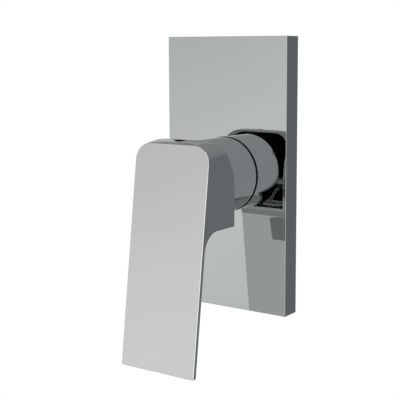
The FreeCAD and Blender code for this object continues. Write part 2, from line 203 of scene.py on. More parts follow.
def mix_in(tree, socket, second, mask, data_type):
    """Mixes a second colour or value over what feeds a socket, as far as a mask says."""
    mix = add_node(tree, "ShaderNodeMix", [
        ("Factor", mask), ("A", socket.links[0].from_socket), ("B", second)], data_type=data_type)
    feed(tree, socket, mix.outputs["Result"])


def dress(material, *names):
    """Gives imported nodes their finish."""
    for name in names:
        nodes[name].material_slots[0].material = material


neck_shade_from = 14.5
brass_painted_shade = (0.012, 0.011, 0.010), (0.020, 0.018, 0.016)
cast_brass = finish_of("cast_brass", (0.60, 0.42, 0.17), (0.70, 0.52, 0.24), cloud_scale=120.0,
                       grain_scale=1400.0, roughness=(0.32, 0.55), metallic=1.0, bump=0.12)
tree, shader = nodes_of(cast_brass)
# Near black on the chamber inside the neck: painted shade.
neck_shade_mask = maths(tree, "LESS_THAN", axes_of(tree)["Y"], -neck_shade_from * mm)
mix_in(tree, shader["Base Color"], clouded(tree, *brass_painted_shade, scale=90.0), neck_shade_mask, "RGBA")
dress(cast_brass, "valve_body")


def grid_faces(rows, columns, closed=False):
    """Quads between neighbouring points of a grid, joined round at the last column when closed."""
    index = np.arange(rows * columns).reshape(rows, columns)
    if closed:
        index = np.concatenate([index, index[:, :1]], axis=1)
    quads = np.stack([index[:-1, :-1], index[:-1, 1:], index[1:, 1:], index[1:, :-1]], axis=-1)
    return quads.reshape(-1, 4)


def patch(points, normals, faces, finish=0):
    """A piece of surface: its points in mm as x, out and z, a normal for each or one for all, its faces, and
    the number of its finish."""
    points = np.asarray(points, float).reshape(-1, 3)
    normals = np.broadcast_to(np.asarray(normals, float).reshape(-1, 3), points.shape)
    return points, normals / np.linalg.norm(normals, axis=1, keepdims=True), np.asarray(faces), finish


def cover(points, normal, finish=0):
    """A flat patch inside one closed run of points."""
    points = np.asarray(points, float).reshape(-1, 3)
    return patch(points, normal, np.arange(len(points))[None, :], finish)


def add_object(name, data):
    """An object at the origin, linked to the scene."""
    added = bpy.data.objects.new(name, data)
    bpy.context.scene.collection.objects.link(added)
    return added


def make_piece(name, patches, finishes):
    """Joins patches into one object: points at one place are merged, each face is turned to its patch's
    normals, and these stay as the shading normals."""
    points = np.concatenate([part[0] for part in patches])
    normals = np.concatenate([part[1] for part in patches])
    first, merged = np.unique(np.round(points, decimals=4), axis=0,
                              return_index=True, return_inverse=True)[1:]
    merged = merged.reshape(-1)
    faces = []
    shading = []
    finish = []
    start = 0
    for part_points, part_normals, part_faces, part_finish in patches:
        corners = part_points[part_faces]
        area = np.cross(corners, np.roll(corners, -1, axis=1)).sum(axis=1)
        turned = (area * part_normals[part_faces].mean(axis=1)).sum(axis=1) > 0
        ordered = np.where(turned[:, None], part_faces[:, ::-1], part_faces) + start
        faces += merged[ordered].tolist()
        shading.append(normals[ordered].reshape(-1, 3))
        finish.append(np.full(len(ordered), part_finish))
        start += len(part_points)
    mesh = bpy.data.meshes.new(name)
    mesh.from_pydata((points[first] * (mm, -mm, mm)).tolist(), [], faces)
    for material in finishes:
        mesh.materials.append(material)
    mesh.polygons.foreach_set("material_index", np.concatenate(finish))
    mesh.polygons.foreach_set("use_smooth", np.ones(len(faces), bool))
    mesh.normals_split_custom_set((np.concatenate(shading) * (1, -1, 1)).tolist())
    return add_object(name, mesh)


port_out = -16.0
thread_pitch = 1.814
thread_root = 9.55
thread_crest = 8.75
thread_start = 17.4
thread_turns = 5.6
thread_fade = 1.5
least_ridge = 0.05
thread_steps = 270
ridge_section = np.array([-0.80, -0.18, 0.18, 0.80])
ridge_slope = np.array([-0.5, -0.35, 0.35, 0.5])


def pipe_thread(direction):
    """A ridge on a helix inside a port: its section, a low trapezium, turns round the port's axis while it
    moves along it by one pitch a turn, and sinks into the wall at both ends."""
    turn = np.linspace(0, 2 * np.pi * thread_turns, thread_steps)
    fade = np.clip(np.minimum(turn, turn[-1] - turn) / thread_fade, least_ridge, 1)
    root = np.full_like(turn, thread_root)
    crest = thread_root + (thread_crest - thread_root) * fade
    radius = np.stack([root, crest, crest, root], axis=1)
    along = thread_start + thread_pitch * turn / (2 * np.pi)
    reach = along[:, None] + ridge_section
    direction = np.array(direction, float)
    outward = np.array([0, 1.0, 0])
    spoke = np.cos(turn)[:, None] * outward + np.sin(turn)[:, None] * np.cross(direction, outward)
    points = reach[..., None] * direction + radius[..., None] * spoke[:, None, :] + (0, port_out, 0)
    normals = ridge_slope[:, None] * direction - spoke[:, None, :]
    wall = np.stack([points[:, 3], points[:, 0]], axis=1)
    wall_normals = np.repeat(spoke[:, None, :], 2, axis=1)
    return [
        patch(points, normals, grid_faces(thread_steps, 4)),
        patch(wall, wall_normals, grid_faces(thread_steps, 2)),
        cover(points[0], np.cross(spoke[0], direction)),
        cover(points[-1], np.cross(direction, spoke[-1])),
    ]


turned_brass = turned_finish("turned_brass", (0.72, 0.54, 0.25), (0.78, 0.60, 0.30),
                             cloud_scale=90.0, grain_scale=900.0, pitch=0.12)
for name, direction in (("hot_inlet_thread", (-1, 0, 0)), ("cold_inlet_thread", (1, 0, 0)),
                        ("shower_outlet_thread", (0, 0, 1))):
    thread = make_piece(name, pipe_thread(direction), [turned_brass])
    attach(thread, "mixer")


# Inlet strainers: moulded white plastic cups with a pierced floor.
# They push in behind the inlet threads and keep grit off the discs.
white_plastic = finish_of("white_plastic", (0.80, 0.80, 0.77), (0.84, 0.84, 0.82), cloud_scale=150.0,
                          grain_scale=2500.0, roughness=(0.38, 0.52), bump=0.02)
dress(white_plastic, "hot_inlet_strainer", "cold_inlet_strainer")


# Outlet plug and washer: a turned brass plug with a hexagon socket.
# It is screwed down on a rubber washer to close the unused lower outlet.
black_rubber = finish_of("black_rubber", (0.005, 0.005, 0.005), (0.008, 0.008, 0.008), cloud_scale=200.0,
                         grain_scale=3000.0, roughness=(0.45, 0.65), bump=0.02)
tree, shader = nodes_of(black_rubber)
feed(tree, shader["Specular IOR Level"], 0.1)
dress(turned_brass, "outlet_plug")
dress(black_rubber, "plug_seal")


# Cartridge: an acetal housing and base round two lapped ceramic discs.
# The lower disc rests on a rubber seal, the upper one slides in its carrier,
# and round rings in the base seal the ports against the brass seat.
grey_plastic = finish_of("grey_plastic", (0.50, 0.51, 0.52), (0.56, 0.57, 0.58), cloud_scale=130.0,
                         grain_scale=2600.0, roughness=(0.36, 0.50), bump=0.02)
black_plastic = finish_of("black_plastic", (0.020, 0.020, 0.021), (0.032, 0.032, 0.033), cloud_scale=130.0,
                          grain_scale=2600.0, roughness=(0.32, 0.48), bump=0.02)
ceramic = finish_of("lapped_ceramic", (0.86, 0.85, 0.81), (0.90, 0.89, 0.86), cloud_scale=200.0,
                    grain_scale=4000.0, roughness=(0.12, 0.22), bump=0.005)
dress(grey_plastic, "cartridge_housing", "cartridge_base")
dress(black_plastic, "disc_carrier", "lever_guide")
dress(ceramic, "fixed_disc", "moving_disc")
dress(black_rubber, "disc_seal")

round_steps = 96
section_steps = 15


def box_mm(node):
    """Least and greatest x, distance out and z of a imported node, in mm to the nearest micrometre."""
    corners = np.round(np.array(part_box(node)) / (mm, -mm, mm), decimals=3)
    return corners.min(axis=0), corners.max(axis=0)


def spun(centre, section, normals):
    """A surface turned round an axis square to the wall: a run of points, as radius and distance out with
    their normals, goes round the axis once."""
    around = np.linspace(0, 2 * np.pi, round_steps, endpoint=False)
    section = np.asarray(section, float)[:, :, None]
    normals = np.broadcast_to(np.asarray(normals, float).reshape(-1, 2), section.shape[:2])[:, :, None]
    points, shading = [
        np.stack(np.broadcast_arrays(
            run[:, 0] * np.cos(around), run[:, 1], run[:, 0] * np.sin(around)), axis=-1)
        for run in (section, normals)]
    return patch(points + np.array(centre), shading, grid_faces(len(section), round_steps, closed=True))


def round_ring(x, out, z, radius, section):
    """An O-ring square to the wall: its section is a circle."""
    about = np.linspace(0, 2 * np.pi, section_steps)
    normals = np.stack([np.cos(about), np.sin(about)], axis=-1)
    return spun((x, out, z), section * normals + (radius, 0), normals)


inlet_x = 8.5
inlet_z = 5.0
inlet_radius = 3.2
outlet_z = -8.0
outlet_radius = 4.0
seals_low, seals_high = box_mm("base_seals")
port_seal_out = (seals_low[1] + seals_high[1]) / 2
port_seal_section = (seals_high[1] - seals_low[1]) / 2
port_seal_gap = 0.1
inlet_ring = inlet_radius + port_seal_section + port_seal_gap
outlet_ring = outlet_radius + port_seal_section + port_seal_gap
port_seals = make_piece("base_port_rings", [
    round_ring(-inlet_x, port_seal_out, inlet_z, inlet_ring, port_seal_section),
    round_ring(inlet_x, port_seal_out, inlet_z, inlet_ring, port_seal_section),
    round_ring(0, port_seal_out, outlet_z, outlet_ring, port_seal_section),
], [black_rubber])
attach(port_seals, "mixer")
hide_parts("base_seals")


# Stop ring, glide ring and nut: the red ring limits the hot end of the swivel.
# The nut clamps the cartridge through the plastic glide ring; its near-black brass colour is painted shade.
red_plastic = finish_of("red_plastic", (0.52, 0.03, 0.025), (0.58, 0.045, 0.035), cloud_scale=150.0,
                        grain_scale=2400.0, roughness=(0.28, 0.40), bump=0.02)
# Near-black nut inside the dark hollow: painted shade.
nut_painted_shade = finish_of("nut_painted_shade", *brass_painted_shade, cloud_scale=90.0, grain_scale=900.0,
                            roughness=(0.25, 0.40), metallic=1.0, bump=0.01)
dress(red_plastic, "stop_ring")
dress(grey_plastic, "glide_ring")
dress(nut_painted_shade, "cartridge_nut")


# Wall plate: a hollow brass casting, ground flat and polished before it is chromed.
# Plating hardly reaches its hollow back, which stays dull. A rubber ring holds it
# on the chamber, and a foam strip closes it against the tiles.
gasket_gap = 0.1
hollow_half_width, _, hollow_half_height = box_mm("plate_gasket")[1] + gasket_gap
hollow_depth = 10.6
grip_low, grip_high = box_mm("plate_grip_ring")
plate_ring_out = (grip_low[1] + grip_high[1]) / 2
plate_ring_radius = 22.33
plate_ring_section = 0.78


def chrome_finish(name, first, second):
    """Mirror chrome: clouded by a hair, with the faintest change of gloss and no relief."""
    return finish_of(name, first, second, cloud_scale=14.0, grain_scale=45.0, roughness=(0.012, 0.028),
                     metallic=1.0)


# The plate's chrome is set darker than the sleeve's and the handle's, though all are one chrome: painted
# shade.
plate_chrome = chrome_finish("plate_chrome", (0.546, 0.575, 0.572), (0.556, 0.585, 0.582))
tree, shader = nodes_of(plate_chrome)
axes = axes_of(tree)
in_width = maths(tree, "LESS_THAN", maths(tree, "ABSOLUTE", axes["X"]), hollow_half_width * mm)
in_height = maths(tree, "LESS_THAN", maths(tree, "ABSOLUTE", axes["Z"]), hollow_half_height * mm)
in_depth = maths(tree, "GREATER_THAN", axes["Y"], -hollow_depth * mm)
in_hollow = maths(tree, "MULTIPLY", maths(tree, "MULTIPLY", in_width, in_height), in_depth)
dull_colour = clouded(tree, (0.40, 0.41, 0.41), (0.50, 0.51, 0.51), scale=90.0)
dull_grain = grained(tree, scale=900.0, roughness=(0.30, 0.50))
mix_in(tree, shader["Base Color"], dull_colour, in_hollow, "RGBA")
mix_in(tree, shader["Roughness"], dull_grain["Roughness"], in_hollow, "FLOAT")
dress(plate_chrome, "wall_plate")

foam = finish_of("closed_cell_foam", (0.055, 0.055, 0.06), (0.09, 0.09, 0.095), cloud_scale=400.0,
                 grain_scale=1800.0, roughness=(0.80, 0.95), bump=0.3)
dress(foam, "plate_gasket")

plate_ring = make_piece("plate_round_ring", [
    round_ring(0, plate_ring_out, 0, plate_ring_radius, plate_ring_section)], [black_rubber])
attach(plate_ring, "mixer")
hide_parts("plate_grip_ring")


# Neck sleeve: a drawn brass tube, polished and chromed, with a rounded front edge.
# Two rubber rings in the chamber's grooves grip it, and it stands on a thin
# black seal, the dark line between the sleeve and the plate.
neck_chrome = chrome_finish("neck_chrome", (0.640, 0.675, 0.690), (0.650, 0.685, 0.700))
dress(neck_chrome, "neck_sleeve")

seal_inside = 22.4
sleeve_outside = box_mm("neck_sleeve")[1][0]
sleeve_foot = box_mm("neck_sleeve")[0][1]
plate_front = box_mm("wall_plate")[1][1]
lip_radius = 0.2
lip_height = 14.55
lip_steps = 6
lip_turn = np.radians(np.linspace(0, 90, lip_steps))
lip_normals = np.stack([np.cos(lip_turn), np.sin(lip_turn)], axis=-1)
lip_outside = sleeve_outside + lip_radius
on_axis = (0, 0, 0)
seal = make_piece("sleeve_lip_seal", [
    spun(on_axis, [(seal_inside, plate_front), (lip_outside, plate_front)], (0, -1)),
    spun(on_axis, [(lip_outside, plate_front), (lip_outside, lip_height - lip_radius)], (1, 0)),
    spun(on_axis, lip_radius * lip_normals + (sleeve_outside, lip_height - lip_radius), lip_normals),
    spun(on_axis, [(sleeve_outside, lip_height), (sleeve_outside, sleeve_foot)], (-1, 0)),
    spun(on_axis, [(sleeve_outside, sleeve_foot), (seal_inside, sleeve_foot)], (0, 1)),
    spun(on_axis, [(seal_inside, sleeve_foot), (seal_inside, plate_front)], (-1, 0)),
], [black_rubber])
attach(seal, "mixer")
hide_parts("sleeve_seal")

rings_low, rings_high = box_mm("sleeve_grip_rings")
ring_section = 0.93
ring_inset = 1.05
ring_centre = rings_high[0] - ring_section
first_ring = rings_high[1] - ring_inset
second_ring = rings_low[1] + ring_inset
sleeve_rings = make_piece("sleeve_round_rings", [
    round_ring(0, first_ring, 0, ring_centre, ring_section),
    round_ring(0, second_ring, 0, ring_centre, ring_section),
], [black_rubber])
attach(sleeve_rings, "mixer")
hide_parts("sleeve_grip_rings")


# Stem, pivot pin and insert: the turned steel stem tilts on its pin in the guide.
# Its ball end moves the disc carrier, and its square end sits in a plastic bush.
turned_steel = turned_finish("turned_steel", (0.52, 0.52, 0.52), (0.58, 0.58, 0.58),
                             cloud_scale=150.0, grain_scale=1500.0, pitch=0.08)
dress(turned_steel, "stem", "pivot_pin", "handle_screw")
dress(black_plastic, "handle_insert")


# Lever handle: one zinc casting, ground, polished and chromed outside.
# A tilted blade hangs from a hollow boss, whose inside is painted shade: dim on the floor and hub, near black
# above and at the far corners.
# A square hub takes the insert, and a grub screw, reached through the roof's hole, holds both.
tilt_degrees = 7.5
tilt = math.radians(tilt_degrees)
half_width = box_mm("handle")[1][0]
corner_radius = 10.4
wall = 2.0
corner_centre = half_width - corner_radius
face_at_axis = 72.45
inner_face_setback = 3.026
rim_out = 43.75
under = -26.8
relief_foot = -0.7
relief_radius = 18.0
relief_knee = 8.0
relief_top = 25.2
roof_front = 69.29
roof_back = 55.55
roof_front_height = 23.9
roof_rise = 1.2
dome_height = 1.0
dome_crest = 0.72
dome_half_width = 25.0
blade_thickness = 2.75
blade_drop = -110.9
fillet_centre = np.array([61.804, -39.8])
fillet_radius = 13.0
front_chamfer = 0.2
rim_edge_radius = 0.12
under_edge_radius = 0.25
tip_corner = 0.9
screw_low, screw_high = box_mm("handle_screw")
screw_out = (screw_low[1] + screw_high[1]) / 2
access_radius = 4.0
hole_block = 4.8
inner_hole_block = 4.5
rear_lip = 1.1
lip_depth = 1.5
rear_corner = 13.5
dark_shade_strip = 8.0
dark_shade_corner = 17.0
dark_shade_corner_x = 16.0
bevel_steps = 4
corner_steps = 15
tip_steps = 7
fillet_steps = 18
relief_steps = 8
side_cells = 4
hole_cells = 8
meeting_rounds = 80
slope_step = 0.01

# Places of the two painted-shade finishes inside the handle, dim and dark, in its list of materials.
dim_shade_slot = 1
dark_shade_slot = 2

across = np.array([1.0, 0, 0])
face_normal = np.array([0, math.cos(tilt), math.sin(tilt)])
blade_up = np.array([0, -math.sin(tilt), math.cos(tilt)])


def face_at(z):
    """Distance out of the flat front at height z."""
    return face_at_axis - math.tan(tilt) * z


def roof_at(x, out):
    """Height of the domed roof: a straight rise from front to back, plus one parabola up to a crest near the
    back and a steeper one down to the rear edge. Both fade towards the sides as the square of one minus the
    fourth power of x over the dome's half width."""
    share = (roof_front - out) / (roof_front - roof_back)
    reach = np.where(share < dome_crest, dome_crest, 1 - dome_crest)
    bulge = np.maximum(1 - ((share - dome_crest) / reach) ** 2, 0)
    fade = np.maximum(1 - (x / dome_half_width) ** 4, 0) ** 2
    return roof_front_height + roof_rise * share + dome_height * bulge * fade


def roof_slopes(x, out):
    """Slopes of the roof across and outward, from small steps to both sides."""
    across_change = roof_at(x + slope_step, out) - roof_at(x - slope_step, out)
    outward_change = roof_at(x, out + slope_step) - roof_at(x, out - slope_step)
    return across_change / (2 * slope_step), outward_change / (2 * slope_step)


def back_at(z):
    """Distance out of the boss's back: the rim, then an arc, then a straight slope up to the roof."""
    rise = np.clip(z, relief_foot, relief_knee) - relief_foot
    knee = relief_radius - math.sqrt(relief_radius ** 2 - (relief_knee - relief_foot) ** 2)
    slope = (roof_back - rim_out - knee) / (relief_top - relief_knee)
    arc = relief_radius - np.sqrt(relief_radius ** 2 - rise ** 2)
    return rim_out + arc + slope * np.maximum(z - relief_knee, 0)


def back_normal(z):
    """Normal of the boss's back, from the slope of its curve."""
    slope = (back_at(z + slope_step) - back_at(z - slope_step)) / (2 * slope_step)
    return np.stack([np.zeros_like(slope), -np.ones_like(slope), slope], axis=-1)


def unit(vectors):
    """Vectors scaled to length one."""
    return vectors / np.linalg.norm(vectors, axis=-1, keepdims=True)


def rounded_edge(points, first, second, radius):
    """A rolled edge along a run of points: arcs of one radius that touch the two faces whose normals are
    given, from the first face to the second."""
    first = unit(np.broadcast_to(first, points.shape))
    second = unit(np.broadcast_to(second, points.shape))
    cosine = (first * second).sum(axis=-1, keepdims=True)
    centre = points - radius * (first + second) / (1 + cosine)
    angle = np.arccos(np.clip(cosine, -1, 1))
    share = np.linspace(0, 1, bevel_steps + 1)[:, None, None]
    normals = (np.sin((1 - share) * angle) * first + np.sin(share * angle) * second) / np.sin(angle)
    return centre + radius * normals, normals


def chamfer(points, first, second, size):
    """A flat bevel along a run of points: it takes the given size off both faces, and all of it faces the
    middle of their normals."""
    first = unit(np.broadcast_to(first, points.shape))
    second = unit(np.broadcast_to(second, points.shape))
    along_first = unit(second - (first * second).sum(axis=-1, keepdims=True) * first)
    along_second = unit(first - (first * second).sum(axis=-1, keepdims=True) * second)
    middle = unit(first + second)
    return np.stack([points - size * along_first, points - size * along_second]), np.stack([middle, middle])


def band(first, second, normals, finish=0, closed=False):
    """A strip between two runs of points that has the same normals along both."""
    normals = np.broadcast_to(normals, np.shape(first))
    faces = grid_faces(2, len(first), closed)
    return patch(np.stack([first, second]), np.stack([normals, normals]), faces, finish)


def over_boss(centre, radius, crest, block):
    """The boss's section over its roof, from the right side to the left: a corner arc, the flat roof and the
    other corner arc, as x, drop below the roof's height and the direction of the normal."""
    corner = np.radians(np.linspace(0, 90, corner_steps))
    outer = np.linspace(centre, block, side_cells + 1)[1:]
    middle = np.linspace(block, -block, hole_cells + 1)[1:]
    flat = np.concatenate([outer, middle, -outer[::-1][1:]])
    angle = np.concatenate([corner, np.full(len(flat), np.pi / 2), np.pi - corner[::-1]])
    start = np.concatenate([np.full(corner_steps, centre), flat, np.full(corner_steps, -centre)])
    return start + radius * np.cos(angle) * (angle != np.pi / 2), crest - radius * (1 - np.sin(angle)), angle


def roof_points(x, drop, angle, out):
    """Points and normals of the roof and corners at given distances out."""
    points = np.stack(np.broadcast_arrays(x, out, roof_at(x, out) + drop), axis=-1)
    across_slope, outward_slope = roof_slopes(x, out)
    upright_part = np.sin(angle)
    normals = np.stack(np.broadcast_arrays(np.cos(angle) - across_slope * upright_part,
                                           -outward_slope * upright_part, upright_part), axis=-1)
    return points, unit(normals)


def meet(x, drop, surface):
    """Distance out where the roof, lowered by drop, meets a surface: repeated substitution settles on it."""
    out = np.full_like(drop, screw_out)
    for _ in range(meeting_rounds):
        out = surface(roof_at(x, out) + drop)
    return out


def boss_shell(section, block, front, back, front_row, back_row, facing, finish):
    """Roof and corners between a front row and a back row of points, with a round hole for the screw: the
    square of grid round the hole gives way to rings that change from its border to the hole's circle."""
    x, drop, angle = section
    middle = len(x) // 2
    share_front = (screw_out + block - front[middle]) / (back[middle] - front[middle])
    share_back = (screw_out - block - front[middle]) / (back[middle] - front[middle])
    share = np.concatenate([np.linspace(0, share_front, side_cells + 1),
                            np.linspace(share_front, share_back, hole_cells + 1)[1:],
                            np.linspace(share_back, 1, side_cells + 1)[1:]])
    out = front + share[:, None] * (back - front)
    points, normals = roof_points(x, drop, angle, out)
    points[0] = front_row
    points[-1] = back_row
    normals = facing * normals
    left = middle - hole_cells // 2
    right = middle + hole_cells // 2
    index = np.arange(points[..., 0].size).reshape(points.shape[:2])
    faces = grid_faces(*points.shape[:2]).reshape(points.shape[0] - 1, points.shape[1] - 1, 4)
    keep = np.ones(faces.shape[:2], bool)
    keep[side_cells:side_cells + hole_cells, left:right] = False
    cells = index[side_cells:side_cells + hole_cells + 1, left:right + 1]
    border = np.concatenate([cells[0, :-1], cells[:-1, -1], cells[-1, :0:-1], cells[:0:-1, 0]])
    edge = points.reshape(-1, 3)[border]
    bearing = np.arctan2(edge[:, 1] - screw_out, edge[:, 0])
    return patch(points, normals, faces[keep], finish), edge, normals.reshape(-1, 3)[border], bearing


# Outline of the front face: over the boss, down the sides and round the blade's end.
outer_section = over_boss(corner_centre, corner_radius, 0.0, hole_block)
x, drop, angle = outer_section
front_edge = meet(x, drop, face_at)
back_edge = meet(x, drop, back_at)
front_points, front_walls = roof_points(x, drop, angle, front_edge)
back_points, back_walls = roof_points(x, drop, angle, back_edge)

tip_turn = np.radians(np.linspace(0, 90, tip_steps))
tip_place = np.array([0, face_at(blade_drop), blade_drop])
tip_x = half_width - tip_corner + tip_corner * np.cos(tip_turn)
tip_rise = tip_corner - tip_corner * np.sin(tip_turn)
tip_right = tip_x[:, None] * across + tip_rise[:, None] * blade_up + tip_place
tip_right_walls = np.cos(tip_turn)[:, None] * across - np.sin(tip_turn)[:, None] * blade_up
mirror = np.array([-1.0, 1, 1])
tip_points = np.concatenate([tip_right, tip_right[::-1] * mirror])
tip_walls = np.concatenate([tip_right_walls, tip_right_walls[::-1] * mirror])

front_loop = np.concatenate([front_points, tip_points[::-1]])
front_loop_walls = np.concatenate([front_walls, tip_walls[::-1]])
front_strip, front_strip_normals = chamfer(front_loop, face_normal, front_loop_walls, front_chamfer)
count = len(x)
tips = len(tip_points)

# Edges of the back: under the boss, round the fillet, down the blade and back up the other side.
fillet_turn = np.radians(np.linspace(90, tilt_degrees, fillet_steps))
fillet_out = fillet_centre[0] + fillet_radius * np.cos(fillet_turn)
fillet_z = fillet_centre[1] + fillet_radius * np.sin(fillet_turn)
run_out = np.concatenate([[rim_out + rim_edge_radius], fillet_out])
run_z = np.concatenate([[under], fillet_z])
run_right = np.stack([np.full_like(run_out, half_width), run_out, run_z], axis=-1)
run_back = np.stack([np.zeros_like(fillet_turn), -np.cos(fillet_turn), -np.sin(fillet_turn)], axis=-1)
run_back = np.concatenate([[[0, 0, -1.0]], run_back])
tip_back_points = tip_points - blade_thickness * face_normal
under_run = np.concatenate([run_right, tip_back_points, run_right[::-1] * mirror])
run_walls = np.tile(across, (len(run_right), 1))
under_walls = np.concatenate([run_walls, tip_walls, -run_walls])
under_backs = np.concatenate([run_back, np.tile(-face_normal, (tips, 1)), run_back[::-1]])
under_strip, under_strip_normals = rounded_edge(under_run, under_walls, under_backs, under_edge_radius)
runs = len(run_right)

# Rim of the boss's open back, all the way round.
side_z = np.concatenate([[under + wall], np.linspace(relief_foot, relief_knee, relief_steps)])
side_right = np.stack([np.full_like(side_z, half_width), back_at(side_z), side_z], axis=-1)
corner_right = under_strip[:, 0] * (1, 0, 1) + (0, rim_out, 0)
corner_walls = under_strip_normals[:, 0]
rim_loop = np.concatenate([corner_right[::-1], side_right, back_points, side_right[::-1] * mirror,
                           corner_right * mirror])
side_walls = np.tile(across, (len(side_z), 1))
rim_walls = np.concatenate([corner_walls[::-1], side_walls, back_walls, -side_walls, corner_walls * mirror])
rim_backs = unit(back_normal(rim_loop[:, 2]))
rim_strip, rim_strip_normals = rounded_edge(rim_loop, rim_walls, rim_backs, rim_edge_radius)
corners = len(corner_right)
sides = len(side_z)
top_start = corners + sides

# Roof and corners of the boss, outside and inside, and the thin lip at the hollow's rear edge; the inside and
# the lip carry dark painted shade.
boss_outer, hole_edge, hole_normals, bearing = boss_shell(
    outer_section, hole_block, front_strip[-1, :count, 1], rim_strip[0, top_start:top_start + count, 1],
    front_strip[-1, :count], rim_strip[0, top_start:top_start + count], facing=1.0, finish=0)
inner_section = over_boss(corner_centre, corner_radius - wall, -wall, inner_hole_block)
inner_x, inner_drop, inner_angle = inner_section
inner_front = meet(inner_x, inner_drop, lambda z: face_at(z) - inner_face_setback)
inner_back = meet(inner_x, inner_drop, back_at) + lip_depth
inner_front_row = roof_points(inner_x, inner_drop, inner_angle, inner_front)[0]
inner_back_row = roof_points(inner_x, inner_drop, inner_angle, inner_back)[0]
boss_inner, inner_hole_edge, inner_hole_normals = boss_shell(
    inner_section, inner_hole_block, inner_front, inner_back, inner_front_row, inner_back_row,
    facing=-1.0, finish=dark_shade_slot)[:3]
lip_x, lip_drop, lip_angle = over_boss(
    half_width - wall - rear_corner, rear_corner, -rear_lip, inner_hole_block)
lip_row = roof_points(lip_x, lip_drop, lip_angle, meet(lip_x, lip_drop, back_at))[0]
lip_walls = -unit(np.cross(np.gradient(lip_row, axis=0), lip_row - inner_back_row))

# Hole in the roof that the screw is reached through, with a rolled edge; its walls carry dark painted shade.
ring_radius = access_radius + np.array([0.6, 0.3, 0.07, 0.0, 0.0])
ring_depth = np.array([0.0, 0.0, 0.04, 0.15, wall])
ring_tip = np.radians([0.0, 0.0, 45.0, 90.0])[:, None, None]
ring_x = ring_radius[:, None] * np.cos(bearing)
ring_out = screw_out + ring_radius[:, None] * np.sin(bearing)
ring_points = np.stack([ring_x, ring_out, roof_at(ring_x, ring_out) - ring_depth[:, None]], axis=-1)
ring_across, ring_outward = roof_slopes(ring_x, ring_out)
roof_normals = unit(np.stack([-ring_across, -ring_outward, np.ones_like(ring_out)], axis=-1))
hole_walls = -np.stack([np.cos(bearing), np.sin(bearing), np.zeros_like(bearing)], axis=-1)
ring_normals = np.cos(ring_tip) * roof_normals[:-1] + np.sin(ring_tip) * hole_walls
hole_rings = [
    patch(np.concatenate([hole_edge[None], ring_points[:-1]]),
          np.concatenate([hole_normals[None], ring_normals]),
          grid_faces(len(ring_points), len(bearing), closed=True)),
    band(ring_points[-2], ring_points[-1], hole_walls, dark_shade_slot, closed=True),
    patch(np.stack([inner_hole_edge, ring_points[-1]]), np.stack([inner_hole_normals, -roof_normals[-1]]),
          grid_faces(2, len(bearing), closed=True), dark_shade_slot),
]

# Sides and floor of the hollow. The floor's dim painted shade gives way to dark painted shade near the rear
# edge and its corners.
inner_side = np.stack([np.full_like(side_z, half_width - wall), back_at(side_z), side_z], axis=-1)
floor_front = np.array([half_width - wall, face_at(under + wall) - inner_face_setback, under + wall])
shade_border_right = np.array([inner_side[0] + (0, dark_shade_corner, 0),
                          inner_side[0] * (0, 1, 1) + (dark_shade_corner_x, dark_shade_strip, 0)])
shade_border = np.concatenate([shade_border_right, shade_border_right[::-1] * mirror])
rim_face = rim_strip[-1]
opening = np.concatenate([inner_side, lip_row, inner_side[::-1] * mirror])

handle_patches = [
    cover(front_strip[0], face_normal),
    patch(front_strip, front_strip_normals, grid_faces(2, len(front_loop), closed=True)),
    boss_outer,
    *hole_rings,
    patch(under_strip, under_strip_normals, grid_faces(bevel_steps + 1, len(under_run))),
    band(front_strip[-1, count:][::-1], under_strip[0, runs:runs + tips], tip_walls),
    band(under_strip[-1, :runs], under_strip[-1, -runs:][::-1], run_back),
    cover(under_strip[-1, runs - 1:runs + tips + 1], -face_normal),
    patch(rim_strip, rim_strip_normals, grid_faces(bevel_steps + 1, len(rim_loop), closed=True)),
    band(rim_face[corners:-corners], opening, back_normal(opening[:, 2])),
    cover(np.concatenate([rim_face[-corners - 1:], rim_face[:corners + 1], inner_side[:1],
                          inner_side[:1] * mirror]), (0, -1.0, 0)),
    boss_inner,
    band(inner_back_row, lip_row, lip_walls, dark_shade_slot),
    cover(np.concatenate([inner_front_row, [floor_front * mirror, floor_front]]), -face_normal, dim_shade_slot),
    cover([floor_front, floor_front * mirror, *shade_border[::-1]], (0, 0, 1.0), dim_shade_slot),
    cover([inner_side[0] * mirror, inner_side[0], *shade_border], (0, 0, 1.0), dark_shade_slot),
]
for turn in (np.ones(3), mirror):
    right = turn[0] > 0
    top = boss_outer[0].reshape(-1, count, 3)[:, 0 if right else -1]
    rim_part = rim_strip[0, corners - 1:corners + sides] if right \
        else rim_strip[0, -corners - sides:len(rim_loop) - corners + 1][::-1]
    under_part = under_strip[0, :runs] if right else under_strip[0, -runs:][::-1]
    tip_part = under_strip[0, runs:runs + 1] if right else under_strip[0, runs + tips - 1:runs + tips]
    tip_front = front_strip[-1, -1:] if right else front_strip[-1, count:count + 1]
    handle_patches.append(cover(np.concatenate([
        top[::-1], tip_front, tip_part, under_part[::-1], rim_part[1:]]), turn * across))
    # The hollow's inner side walls carry the dim painted shade.
    inner_top = boss_inner[0].reshape(-1, count, 3)[:, 0 if right else -1]
    lip_end = lip_row[:1] if right else lip_row[-1:]
    handle_patches.append(cover(np.concatenate([
        inner_top, lip_end, inner_side[::-1] * turn, [shade_border_right[0] * turn, floor_front * turn],
    ]), -turn * across, dim_shade_slot))

# Square hub with the socket for the insert, in dim painted shade.
hub_half = 8.2
socket_gap = 0.1
socket_half = box_mm("handle_insert")[1][0] + socket_gap
hub_edge_radius = 0.6
socket_edge_radius = 0.5
hub_back = box_mm("handle")[0][1]
hub_sink = 0.5
socket_front = 66.34
hub_corner = np.radians(np.linspace(0, 90, bevel_steps + 1))


